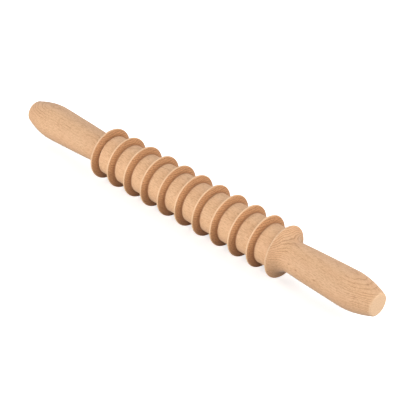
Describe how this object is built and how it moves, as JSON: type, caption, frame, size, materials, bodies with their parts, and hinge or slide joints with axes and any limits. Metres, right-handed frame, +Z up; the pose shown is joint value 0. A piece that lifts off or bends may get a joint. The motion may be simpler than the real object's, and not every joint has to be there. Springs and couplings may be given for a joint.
{
  "type": "wooden roller massager",
  "caption": "Hand-held wooden roller massager: ridged wheels turn freely on a dowel axle between two turned grips with flared flanges.",
  "frame": {"origin": "middle of the long axis, which is the centre of the bounding box", "axes": "+X along the long axis towards the right grip, +Z up; the part is a body of revolution about X"},
  "size_m": [0.395, 0.046, 0.046],
  "materials": {
    "grip_wood": "turned and sanded light beech, satin",
    "wheel_wood": "turned and sanded light beech, satin",
    "axle_wood": "plain beech dowel, planed smooth"
  },
  "bodies": {
    "frame": {"left_handle": "grip_wood", "right_handle": "grip_wood", "axle_rod": "axle_wood"},
    "end_collar": {"end_collar": "wheel_wood"},
    "massage_wheel_1": {"massage_wheel_1": "wheel_wood"},
    "massage_wheel_2": {"massage_wheel_2": "wheel_wood"},
    "massage_wheel_3": {"massage_wheel_3": "wheel_wood"},
    "massage_wheel_4": {"massage_wheel_4": "wheel_wood"},
    "massage_wheel_5": {"massage_wheel_5": "wheel_wood"},
    "massage_wheel_6": {"massage_wheel_6": "wheel_wood"},
    "massage_wheel_7": {"massage_wheel_7": "wheel_wood"},
    "massage_wheel_8": {"massage_wheel_8": "wheel_wood"},
    "massage_wheel_9": {"massage_wheel_9": "wheel_wood"}
  },
  "joints": [
    {"name": "end_collar_spin", "type": "hinge", "parent": "frame", "child": "end_collar", "pos_m": [-0.09068, 0, 0], "axis": [1, 0, 0], "continuous": true},
    {"name": "wheel_1_spin", "type": "hinge", "parent": "frame", "child": "massage_wheel_1", "pos_m": [-0.0806, 0, 0], "axis": [1, 0, 0], "continuous": true},
    {"name": "wheel_2_spin", "type": "hinge", "parent": "frame", "child": "massage_wheel_2", "pos_m": [-0.06045, 0, 0], "axis": [1, 0, 0], "continuous": true},
    {"name": "wheel_3_spin", "type": "hinge", "parent": "frame", "child": "massage_wheel_3", "pos_m": [-0.0403, 0, 0], "axis": [1, 0, 0], "continuous": true},
    {"name": "wheel_4_spin", "type": "hinge", "parent": "frame", "child": "massage_wheel_4", "pos_m": [-0.02015, 0, 0], "axis": [1, 0, 0], "continuous": true},
    {"name": "wheel_5_spin", "type": "hinge", "parent": "frame", "child": "massage_wheel_5", "pos_m": [0, 0, 0], "axis": [1, 0, 0], "continuous": true},
    {"name": "wheel_6_spin", "type": "hinge", "parent": "frame", "child": "massage_wheel_6", "pos_m": [0.02015, 0, 0], "axis": [1, 0, 0], "continuous": true},
    {"name": "wheel_7_spin", "type": "hinge", "parent": "frame", "child": "massage_wheel_7", "pos_m": [0.0403, 0, 0], "axis": [1, 0, 0], "continuous": true},
    {"name": "wheel_8_spin", "type": "hinge", "parent": "frame", "child": "massage_wheel_8", "pos_m": [0.06045, 0, 0], "axis": [1, 0, 0], "continuous": true},
    {"name": "wheel_9_spin", "type": "hinge", "parent": "frame", "child": "massage_wheel_9", "pos_m": [0.0806, 0, 0], "axis": [1, 0, 0], "continuous": true}
  ]
}
